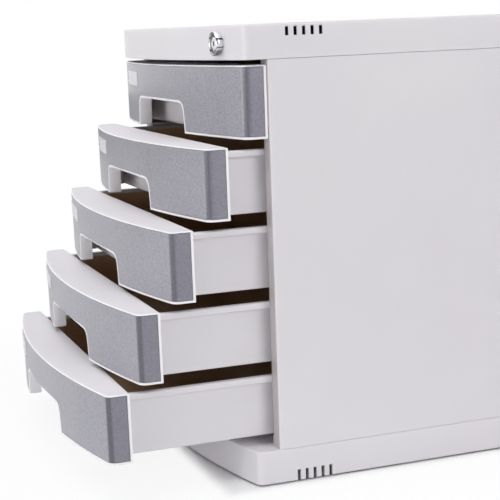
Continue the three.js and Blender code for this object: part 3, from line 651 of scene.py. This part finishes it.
# %% The base and its feet
BASE_TOP = drawn("base")[1][2]
BASE_ROUND = 0.9
BASE_DECK = 3
SLOT_TOP = 8.0
RIB_HALF = 1
RIB_Z = (11.7, 22.5)
LONG_RIB_X = 50.9
LONG_RIB_Y = (-12, CABINET_DEPTH - WALL / 2)
CROSS_RIB_X = (WALL / 2 - cabinet_plan.half, cabinet_plan.half - WALL / 2)
CROSS_RIB_Y = (127.2, 254.8)
SOCKET_RADIUS = 11
SOCKET_Z = (2.1, 22.5)
PAD_PROFILE = [(8.2, -1.5), (8.7, -1.3), (9, -0.7), (9, 1.8)]
base_parts = [cabinet_shell([0, SLOT_TOP], BASE_TOP, BASE_ROUND, BASE_DECK, (0, SLOT_TOP), WALL)]
for x in (-LONG_RIB_X, LONG_RIB_X):
    base_parts.append(rounded_block((x - RIB_HALF, x + RIB_HALF), LONG_RIB_Y, RIB_Z))
for y in CROSS_RIB_Y:
    base_parts.append(rounded_block(CROSS_RIB_X, (y - RIB_HALF, y + RIB_HALF), RIB_Z))
for corner in CORNERS:
    x, y, _ = drawn(f"foot_{corner}").mean(0)
    base_parts.append(turned([(SOCKET_RADIUS, z) for z in SOCKET_Z], (x, y, 0), sides=40))
    pad = turned(PAD_PROFILE, (x, y, 0), sides=48)
    build(f"foot_pad_{corner}", [pad], sole, "cabinet", [f"foot_{corner}"])
build("base_shell", base_parts, cabinet_white, "cabinet", ["base"])

# %% [markdown]
# The finger notch is a low arch with sides that lean in a little and rounded upper corners. One
# function gives its outline at any distance outside the opening. Drawn as a height over x, it
# is also the lower edge of the white front and of the grey face.

# %% The notch as a curve
NOTCH_HALF = 60.4
NOTCH_HEIGHT = 22.4
NOTCH_TAPER = 2.4
NOTCH_CORNER = 8.5
SHOULDER_SHARE = 0.33
NOTCH_RIM = 1.8


def notch_side(grow, steps=12):
    """Right half of the notch from its foot to the flat top: a leaning line, then a curve.

    The curve weighs its start, its corner and its end by (1 - t)^2, 2 t (1 - t) and t^2."""
    wide = NOTCH_HALF + grow
    high = NOTCH_HEIGHT + grow
    narrow = wide - NOTCH_TAPER
    corner = NOTCH_CORNER + grow
    shoulder = narrow + NOTCH_TAPER * SHOULDER_SHARE
    t = np.linspace(0, 1, steps + 1)
    x = (1 - t) ** 2 * shoulder + 2 * t * (1 - t) * narrow + t ** 2 * (narrow - corner)
    z = (1 - t) ** 2 * (high - corner) + 2 * t * (1 - t) * high + t ** 2 * high
    return np.concatenate([[wide], x]), np.concatenate([[0], z])


def notch_height(x, grow, foot):
    """Height of the grown notch's edge over x, and the foot's height beside it."""
    side_x, side_z = notch_side(grow)
    found = np.interp(np.abs(x), side_x[::-1], side_z[::-1], right=foot)
    return np.where(np.abs(x) < side_x[0] + NEAR, np.maximum(found, foot), foot)


def front_stations(grow, foot):
    """Places along the bow: the notch's own points and even stations elsewhere."""
    side_x, side_z = notch_side(grow)
    lowest = np.interp(foot, side_z, side_x)
    marks = np.concatenate([[lowest], side_x[side_z > foot]])
    return spread([-front_plan.limit, *-marks, 0, *marks, front_plan.limit], BOW_STEP)


# %% [markdown]
# A drawer front is a white shell, open at its back for the tray. Its edge is rounded round the top,
# and a shallow recess holds the grey face, so that only a thin white rim shows above, below and
# behind it. The notch has its own white lining, 10 mm deep, with a soft front edge. Two braces
# stand inside.

# %% The white front
_, FRONT_BACK, FRONT_TOP = front_high
FRONT_ROUND = 1
FRONT_WALL = 3.2
BACK_WALL = 2.0
PLATE_UNDER = 47.9
SIDE_START = 8
LIP = 4.0
EAR_REACH = 2
GAP = 0.3
tray_low, tray_high = drawn("drawer_1_tray", BOTTOM[1])
TRAY_HALF = tray_high[0] - EAR_REACH - LIP
MOUTH = TRAY_HALF + GAP
RIM_BOTTOM = 1.7
RIM_REAR = 1.8
RIM_SOFT = 0.35
SOFT_SHARE = 0.29
RECESS = 1.7


def white_front():
    """A profile carried round: up the lower edge and the rim, in and out of the recess, to the top.

    Its rows are free to differ along the outline: the lower edge is the notch's height over x, and
    behind the front there is no recess but the opening for the tray."""
    rim_y = FRONT_BACK - RIM_REAR
    bow_x = front_stations(NOTCH_RIM, 0.0)
    outline = front_plan.around(bow_x, [SIDE_START, rim_y, rim_y], FRONT_BACK, [-MOUTH, 0, MOUTH])
    x, y = outline[0].T
    at_back = y > FRONT_BACK - NEAR
    sides = np.flatnonzero(np.abs(y - rim_y) < NEAR)
    behind = at_back.copy()
    behind[sides[[0, -1]]] = True
    low = np.where(y < 0, notch_height(x, NOTCH_RIM, 0.0), 0.0)
    notched = low > NEAR
    rim = np.where(notched, 0.0, RIM_BOTTOM)
    recess = np.where(behind, 0.0, RECESS)
    edge = np.where(notched, RECESS, 0.0)
    soft = np.where(notched, 0.0, RIM_SOFT)
    into, up = quarter(5)
    zero = 0 * low
    round_start = FRONT_TOP - FRONT_ROUND
    inset = np.stack([edge + soft, edge + soft * SOFT_SHARE, edge, edge, recess, recess, zero], -1)
    height = np.stack([low, low + soft * SOFT_SHARE, low + soft, low + rim, low + rim,
                       np.where(at_back, PLATE_UNDER, round_start), zero + round_start], -1)
    inset = np.hstack([inset, np.tile(FRONT_ROUND * into[1:], (len(x), 1))])
    height = np.hstack([height, np.tile(round_start + FRONT_ROUND * up[1:], (len(x), 1))])
    outer = skin(outline, inset, height)
    depth = np.where(at_back, BACK_WALL, FRONT_WALL)[:, None] + 0 * inset
    inner = skin(outline, depth, np.minimum(height, PLATE_UNDER))
    keep = np.ones((len(x), inset.shape[1] - 1), bool)
    mouth = at_back & np.roll(at_back, -1) & (np.abs(x + np.roll(x, -1)) / 2 < MOUTH)
    keep[mouth, 4] = False
    return wall(outer, inner, keep, wrap=True, plates=True)


# The lining's section: how far outside the opening and how deep under the bow each point lies
LINING_GROW = np.array([NOTCH_RIM, 1.7, 0.5, 0.15, 0.0, 0.0, 0.0])
LINING_DEPTH = np.array([0.15, 0.0, 0.0, 0.12, 0.5, 5.0, 10.0])


def notch_lining():
    """The section carried over the notch's arch: x and z from its curve, y from the bow at that x."""
    curves = [notch_side(grow) for grow in LINING_GROW]
    x = np.stack([np.concatenate([c[0], -c[0][::-1]]) for c in curves], -1)
    z = np.stack([np.concatenate([c[1], c[1][::-1]]) for c in curves], -1)
    outer = np.dstack([x, front_plan.bow_y(x, LINING_DEPTH), z])
    side_x, side_z = notch_side(NOTCH_RIM)
    back_x = np.concatenate([side_x, -side_x[::-1]])[:, None] + 0 * x
    back_z = np.concatenate([side_z, side_z[::-1]])[:, None] + 0 * x
    back_y = front_plan.bow_y(back_x, np.maximum(LINING_DEPTH, LINING_DEPTH[0]))
    return wall(outer, np.dstack([back_x, back_y, back_z]))


BRACE_X = 100.0
BRACE_HALF = 1.2
BRACE_Y = (-6.5, 9.1)
BRACE_Z = (2.0, 48.5)
front_parts = [white_front(), notch_lining()]
for x in (-BRACE_X, BRACE_X):
    front_parts.append(rounded_block((x - BRACE_HALF, x + BRACE_HALF), BRACE_Y, BRACE_Z))
on_drawers("front", front_parts, front_white, "front")

# %% [markdown]
# The grey face is a strip 1.4 mm thick that runs from behind one rounded end, across the bow and
# round the other end. Its edges are barely broken, which gives the thin shadow gap to the rim.

# %% The grey face
face_low, face_high = drawn("drawer_1_face", BOTTOM[1])
FACE_LOW = face_low[2]
_, FACE_REAR, FACE_TOP = face_high
FACE_THICK = 1.4
FACE_EDGE = 0.15
FACE_NOTCH = 2.1


def grey_face():
    """A sheet over the outline's length and the height, whose lower edge rises over the notch."""
    side_y = [SIDE_START, FACE_REAR - FACE_EDGE, FACE_REAR]
    outline = front_plan.around(front_stations(FACE_NOTCH, FACE_LOW), side_y, steps=14)
    x, y = outline[0].T
    low = np.where(y < 0, notch_height(x, FACE_NOTCH, FACE_LOW), FACE_LOW)[:, None]
    shares = np.linspace(0, 1, 9)
    middle = low + FACE_EDGE + (FACE_TOP - low - 2 * FACE_EDGE) * shares
    height = np.hstack([low, middle, FACE_TOP + 0 * low])
    edge = np.zeros_like(height)
    edge[[0, -1]] = FACE_EDGE
    edge[:, [0, -1]] = FACE_EDGE
    return wall(skin(outline, edge, height), skin(outline, FACE_THICK + 0 * edge, height))


on_drawers("face", [grey_face()], pearl, "face")

# %% [markdown]
# On the left of each face a small clear plate holds a blank label card. Both follow the bow. They
# are drawn as columns whose height shrinks at the two rounded ends.

# %% Labels
label_box = drawn("drawer_1_label_window", BOTTOM[1])
LABEL_X, _, LABEL_Z = label_box.mean(0)
LABEL_CORNER = 2.2


def bowed_plate(grow, out, back, soft):
    """A rounded plate from out in front of the bow to back under it, with columns of rows.

    A column is as tall as the quarter circle of the corner leaves it, and near the rim the outer
    skin falls back along a quarter circle of the soft edge."""
    half_x, _, half_z = np.ptp(label_box, 0) / 2 + grow
    corner = LABEL_CORNER + grow
    turn = np.sin(np.linspace(0, np.pi / 2, 9))
    ends = half_x - corner + corner * turn
    x = np.concatenate([-ends[::-1], np.linspace(-half_x + corner, half_x - corner, 25)[1:-1], ends])
    past = np.clip(np.abs(x) - half_x + corner, 0, corner)
    tall = (half_z - corner + np.sqrt(np.maximum(corner ** 2 - past ** 2, 0)))[:, None]
    share = np.concatenate([[-1, -0.97, -0.9], np.linspace(-0.8, 0.8, 7), [0.9, 0.97, 1]])
    z = tall * share
    rim = np.maximum(np.abs(z) - (tall - soft), (np.abs(x) - half_x + soft)[:, None])
    rim = np.clip(rim / soft, 0, 1)
    depth = -out + soft * (1 - np.sqrt(np.maximum(1 - rim ** 2, 0)))
    place_x = (LABEL_X + x)[:, None] + 0 * z
    front_skin = np.dstack([place_x, front_plan.bow_y(place_x, depth), LABEL_Z + z])
    back_skin = np.dstack([place_x, front_plan.bow_y(place_x, back), LABEL_Z + z])
    return wall(front_skin, back_skin)


on_drawers("window", [bowed_plate(grow=0, out=0.9, back=0.02, soft=0.35)], window, "label_window")
on_drawers("card", [bowed_plate(grow=-0.5, out=0.32, back=-0.08, soft=0.1)], card, "label_card")

# %% [markdown]
# A tray is one moulding: a flat floor, thin walls and, along both sides, a thick lip that runs on
# the cabinet's runners. An ear on each lip stops the drawer at the fold of the side panel, and a lug
# on the right takes the lock's tooth.

# %% Trays
_, TRAY_FRONT, TRAY_LOW = tray_low
_, TRAY_REAR, TRAY_TOP = tray_high
LIP_TALL = 4.4
LIP_LOW = TRAY_TOP - LIP_TALL
LIP_START = FRONT_BACK + GAP
TRAY_CORNER = 4.0
TRAY_MIDDLE = 200
TRAY_WALL = 2.0
TRAY_FLOOR = 2
LIP_RAMP = 0.6
LIP_BREAK = 0.4
LIP_ROUND = 1.3
RIM_ROUND = 0.8
FLOOR_FILLET = 2.0


def tray_outline():
    """A rectangle with rounded corners, counter-clockwise from the front left.

    Each side has stations where its lip begins and ends, and one between them."""
    ends = [(-1, TRAY_FRONT, np.pi), (1, TRAY_FRONT, 1.5 * np.pi),
            (1, TRAY_REAR, 0), (-1, TRAY_REAR, np.pi / 2)]
    points = []
    inward = []
    stations = [LIP_START, LIP_START + LIP_RAMP, TRAY_MIDDLE, TRAY_REAR - TRAY_CORNER - LIP_RAMP]
    for side, y, start in ends:
        centre_y = y + (TRAY_CORNER if y == TRAY_FRONT else -TRAY_CORNER)
        centre = np.array([side * (TRAY_HALF - TRAY_CORNER), centre_y])
        angle = np.linspace(start, start + np.pi / 2, 7)
        way = np.stack([np.cos(angle), np.sin(angle)], -1)
        points.append(centre + TRAY_CORNER * way)
        inward.append(-way)
        if (side > 0) == (y == TRAY_FRONT):
            points.append(np.array([(side * TRAY_HALF, place) for place in stations[::side]]))
            inward.append(np.tile([-side, 0.0], (len(stations), 1)))
    return np.concatenate(points), np.concatenate(inward)


def tray_shell():
    """The whole section of the tray as one profile of insets and heights, carried round.

    It rounds the floor's edge by 1 mm, goes up to the lip, out by the lip's reach, over it, and
    down the inside along quarter circles to the floor."""
    outline = tray_outline()
    x, y = outline[0].T
    straight = np.abs(np.abs(x) - TRAY_HALF) < NEAR
    lipped = straight & (y > LIP_START + NEAR) & (y < TRAY_REAR - TRAY_CORNER - NEAR)
    reach = np.where(lipped, LIP, 0.0)[:, None]
    top = TRAY_TOP + 0 * reach
    round_out = np.where(lipped, LIP_ROUND, RIM_ROUND)[:, None]
    into, up = quarter(4)
    one = np.ones_like(reach)
    inset = [(1 - share) * one for share in (0, 0.5, 0.87, 1)]
    height = [TRAY_LOW + one * share for share in (0, 0.13, 0.5, 1)]
    inset += [0 * one, -reach + LIP_BREAK * (reach > 0), -reach]
    height += [LIP_LOW * one, LIP_LOW * one, (LIP_LOW + LIP_BREAK) * one]
    inset += [-reach + round_out * share for share in into]
    height += [top - round_out + round_out * share for share in up]
    inset += [TRAY_WALL - RIM_ROUND + RIM_ROUND * share * one for share in up]
    height += [top - RIM_ROUND * share for share in into]
    inset += [TRAY_WALL + FLOOR_FILLET * share * one for share in into]
    height += [TRAY_LOW + TRAY_FLOOR + FLOOR_FILLET * (1 - share) * one for share in up]
    return carried(skin(outline, np.hstack(inset), np.hstack(height)))


EAR_Y = (261.0, 269.0)
LUG_Y = (139, 144)
LUG_Z = (18.0, 24.0)
tray_parts = [tray_shell()]
for side in (-1, 1):
    near_far = sorted((side * (TRAY_HALF - 1), side * (TRAY_HALF + LIP + EAR_REACH)))
    tray_parts.append(rounded_block(near_far, EAR_Y, (LIP_LOW, TRAY_TOP), soft=0.5))
tray_parts.append(rounded_block((TRAY_HALF - 1, TRAY_HALF + LIP), LUG_Y, LUG_Z))
on_drawers("tray", tray_parts, tray_white, "tray")

# %% [markdown]
# The side panels fold round the drawers: a skin, a flange in front, runners and keepers inside.
# Their shape is exact in the model, so a copy of the node's mesh is taken, its flat areas are joined
# again, the long outer corner of the fold is rounded, and a Bevel breaks the other edges.

# %% Side panels
FOLD_ROUND = 2.2
for side in ("left", "right"):
    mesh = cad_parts[f"side_panel_{side}"].data.copy()
    clean = bmesh.new()
    clean.from_mesh(mesh)
    bmesh.ops.remove_doubles(clean, verts=clean.verts, dist=DOUBLE)
    bmesh.ops.dissolve_limit(clean, angle_limit=math.radians(0.5), verts=clean.verts, edges=clean.edges)
    fold_x = max(abs(v.co.x) for v in clean.verts) - NEAR * MM
    fold_y = min(v.co.y for v in clean.verts) + NEAR * MM
    fold = [e for e in clean.edges if all(abs(v.co.x) > fold_x and v.co.y < fold_y for v in e.verts)]
    bmesh.ops.bevel(clean, geom=fold, offset=FOLD_ROUND * MM, segments=6, profile=0.5, affect="EDGES")
    clean.to_mesh(mesh)
    clean.free()
    dress(f"panel_{side}", mesh, panel_white, "cabinet", [f"side_panel_{side}"], sharp=30, soften=0.5)

# %% [markdown]
# The lock stands 4.2 mm proud of the cover. Its housing is a turned ring, a low barrel that is
# widest in its middle, with a dished front. The plug lies deeper in it, cut by the keyway. Its end
# is drawn as columns of a disc, so that the keyway is only a mask.

# %% Lock
LOCK_PROUD = 4.2
PLUG_RADIUS = 4.6
PLUG_START = 1.0
PLUG_SOFT = 0.5
PLUG_FALL = 0.35
PLUG_LENGTH = 9.4
KEY_HALF = 1.2
KEY_SHARE = 0.34
lock_front = float(cabinet_plan.bow_y(LOCK_X)) - LOCK_PROUD
# Radius and depth behind the housing's front, from the hole in its dish round to the cover
RING_PROFILE = [(4.9, 8.5), (4.9, 1.4), (5.1, 1.2), (6.6, 0.8), (7.3, 0.3), (7.55, 0.08), (7.75, 0.0),
                (8.0, 0.1), (8.25, 0.45), (8.45, 1.1), (8.5, 2.0), (8.4, 3.0), (8.1, 3.9), (7.6, 4.7),
                (7.2, 5.3), (7.0, 6.0), (6.9, 7.4)]
# The plug's end and the stud for the nut, inside the cover
STUD_PROFILE = [(4.5, lock_front + 9.3), (4.5, 11.0), (2.6, 11.2), (2.6, 13.7)]


def lock_plug():
    """A disc in columns of x with heights up to the circle, thick along y, without the keyway."""
    turn = np.sin(np.linspace(0, np.pi / 2, 13))
    plus = np.concatenate([[KEY_HALF], KEY_HALF + (PLUG_RADIUS - KEY_HALF) * turn[1:]])
    x = np.concatenate([-plus[::-1], plus])
    share = np.concatenate([np.linspace(-1, -KEY_SHARE, 5), np.linspace(KEY_SHARE, 1, 5)])
    z = np.sqrt(np.maximum(PLUG_RADIUS ** 2 - x ** 2, 0))[:, None] * share
    wide = x[:, None] + 0 * z
    rim = np.clip((np.hypot(wide, z) - PLUG_RADIUS + PLUG_SOFT) / PLUG_SOFT, 0, 1)
    depth = PLUG_START + PLUG_FALL * rim ** 2
    front = np.dstack([LOCK_X + wide, lock_front + depth, LOCK_Z + z])
    back = np.dstack([LOCK_X + wide, lock_front + PLUG_LENGTH + 0 * z, LOCK_Z + z])
    keep = np.ones((len(x) - 1, z.shape[1] - 1), bool)
    keep[len(plus) - 1, 4] = False
    return wall(front, back, keep)


housing = turned(RING_PROFILE[::-1], (LOCK_X, lock_front, LOCK_Z), "y", sides=96)
build("lock_ring", [housing], chrome, "cabinet", ["lock_housing"])
stud = turned(STUD_PROFILE, (LOCK_X, 0, LOCK_Z), "y", sides=48)
build("lock_cylinder", [lock_plug(), stud], nickel, "lock_core", ["lock_plug"])

# %% [markdown]
# What is left of the model's own nodes is flat or hidden: liners, back panel, screws and the inner
# parts of the lock. They keep their mesh and get the finish of the first word that their name holds.

# %% Finishes on the remaining nodes
plain = {"back_panel": cabinet_white, "guide": tray_white, "lock_bar": steel, "liner": board_and_shade,
         "screw": zinc, "lock_nut": zinc, "lock_cam": zinc}
left = sorted(set(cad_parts) - stood_for)
for name in left:
    finish = next(plain[word] for word in plain if word in name)
    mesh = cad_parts[name].data
    mesh.materials.clear()
    mesh.materials.append(finish.material)
print("nodes with their own mesh:", len(left))

# %% [markdown]
# The camera was fitted to the straight and bowed edges in the photograph. It stands to the right
# and in front and looks slightly down. The pixel straight ahead of it isn't the middle one, because
# the photograph was cropped, so the picture is shifted.

# %% Camera
EYE = (0.98178, -0.43394, 0.32507)
TURN = math.radians(71.09)
DOWN = math.radians(12.18)
ROLL = math.radians(-2.345)
FOCAL_PIXELS = 1294.96
PICTURE = 500
AHEAD_PIXEL = (222.85, 307.07)
look = Vector((-math.sin(TURN) * math.cos(DOWN), math.cos(TURN) * math.cos(DOWN), -math.sin(DOWN)))
level = look.cross(Vector((0, 0, 1))).normalized()
raised = level.cross(look)
right = level * math.cos(ROLL) + raised * math.sin(ROLL)
upright = raised * math.cos(ROLL) - level * math.sin(ROLL)
lens = bpy.data.cameras.new("camera")
lens.sensor_width = 36
lens.sensor_fit = "HORIZONTAL"
lens.lens = FOCAL_PIXELS / PICTURE * lens.sensor_width
lens.shift_x = (PICTURE / 2 - AHEAD_PIXEL[0]) / PICTURE
lens.shift_y = (AHEAD_PIXEL[1] - PICTURE / 2) / PICTURE
lens.clip_start = 0.02
camera = bpy.data.objects.new("camera", lens)
turning = Matrix((right, upright, -look)).transposed()
camera.matrix_world = Matrix.Translation(EYE) @ turning.to_4x4()
scene.collection.objects.link(camera)
scene.camera = camera
print("lens:", round(lens.lens, 2), "shift:", round(lens.shift_x, 4), round(lens.shift_y, 4))

# %% [markdown]
# The light is a product table: a large soft box high in front, another at the right, low ones that
# lift the fronts, and weak ones at the left and behind that only fill the far sides. The floor is
# plain and pale. It keeps the shadow under the object, and goes over into white away from it.

# %% Floor, room and lamps
WHITE = (1, 1, 1, 1)
AMBIENT = 0.09
DARK_SIDE = (0.74, -0.65, 0.15)
FLOOR_HALF = 6
STOOD_ON = (0, 0.053, 0)
HALF_BASE = (0.153, 0.2)
# The floor turns white in two steps: between two distances from the base, by how much
NEAR_FADE = (-0.004, 0.012, 0.0, 0.88)
WIDE_FADE = (0.03, 0.4, 0.0, 0.12)

ground = Finish("pale_floor", Roughness=0.9, Specular_IOR_Level=0.1)
ground.feed("Base Color", ground.mix(ground.noise(3, 2), paint(247, 247, 248), paint(250, 250, 251)))
glow = ground.node("ShaderNodeEmission", {"Color": WHITE, "Strength": 1.0})
rays = ground.node("ShaderNodeLightPath", out="Is Camera Ray")
spot = ground.node("ShaderNodeVectorMath", {0: ground.place, 1: STOOD_ON}, operation="SUBTRACT")
spot = ground.node("ShaderNodeVectorMath", {0: spot}, operation="ABSOLUTE")
past_x = ground.node("ShaderNodeSeparateXYZ", {"Vector": spot}, out="X") - HALF_BASE[0]
past_y = ground.node("ShaderNodeSeparateXYZ", {"Vector": spot}, out="Y") - HALF_BASE[1]
beside = past_x.maths("MAXIMUM", past_x, past_y)
far = ground.ease(beside, *NEAR_FADE) + ground.ease(beside, *WIDE_FADE)
ground.show(ground.node("ShaderNodeMixShader", {0: rays * far, 1: ground.surface, 2: glow}))
mesh = bpy.data.meshes.new("floor")
mesh.from_pydata([(x * FLOOR_HALF, y * FLOOR_HALF, 0) for x, y in ((-1, -1), (1, -1), (1, 1), (-1, 1))],
                 [], [(0, 1, 2, 3)])
mesh.materials.append(ground.material)
floor = bpy.data.objects.new("floor", mesh)
scene.collection.objects.link(floor)

world = bpy.data.worlds.new("room")
scene.world = world
room = Nodes(world)
way = room.node("ShaderNodeTexCoord", out="Generated")
toward = room.node("ShaderNodeVectorMath", {0: way, 1: DARK_SIDE}, out="Value", operation="DOT_PRODUCT")
ambient = room.node("ShaderNodeBackground", {"Color": WHITE, "Strength": AMBIENT})
mirrored = room.node("ShaderNodeBackground", {"Color": WHITE,
                                              "Strength": room.ease(toward, 0.4, 0.85, 1.0, 0.25)})
white = room.node("ShaderNodeBackground", {"Color": WHITE, "Strength": 1.0})
seen = room.node("ShaderNodeLightPath", out="Is Camera Ray")
polished = room.node("ShaderNodeLightPath", out="Is Glossy Ray")
through = room.node("ShaderNodeLightPath", out="Is Transmission Ray")
lit = room.node("ShaderNodeMixShader", {0: polished, 1: ambient, 2: mirrored})
whole = room.node("ShaderNodeMixShader", {0: seen + through, 1: lit, 2: white})
room.node("ShaderNodeOutputWorld", {"Surface": whole})


def soft_box(name, place, aim, size, power, mirrored=True):
    """A square lamp that looks at a point, and that glossy surfaces may mirror or not."""
    lamp = bpy.data.lights.new(name, "AREA")
    lamp.shape = "RECTANGLE"
    lamp.size, lamp.size_y = size
    lamp.energy = power
    stand = bpy.data.objects.new(name, lamp)
    stand.location = place
    way = Vector(aim) - Vector(place)
    stand.rotation_euler = way.to_track_quat("-Z", "Y").to_euler()
    stand.visible_glossy = mirrored
    scene.collection.objects.link(stand)


soft_box("upper_box", (0.3, -1.2, 3.4), (0, -0.1, 0), (2.6, 3.2), 82)
soft_box("right_box", (2.3, 0.8, 1.3), (0, 0, 0.15), (1.0, 1.2), 21)
soft_box("low_front_box", (0.2, -2.3, 0.5), (0, -0.2, 0.1), (2.2, 0.8), 14)
soft_box("low_right_box", (1.7, -1.7, 0.4), (0, -0.1, 0.1), (1.6, 0.6), 3)
soft_box("left_box", (-2.2, 0.1, 1.2), (0, 0, 0.15), (1.2, 1.2), 8, False)
soft_box("rear_box", (0.2, 2.5, 1.2), (0, 0.2, 0.15), (1.4, 1.0), 9, False)
scene.view_settings.view_transform = "Standard"
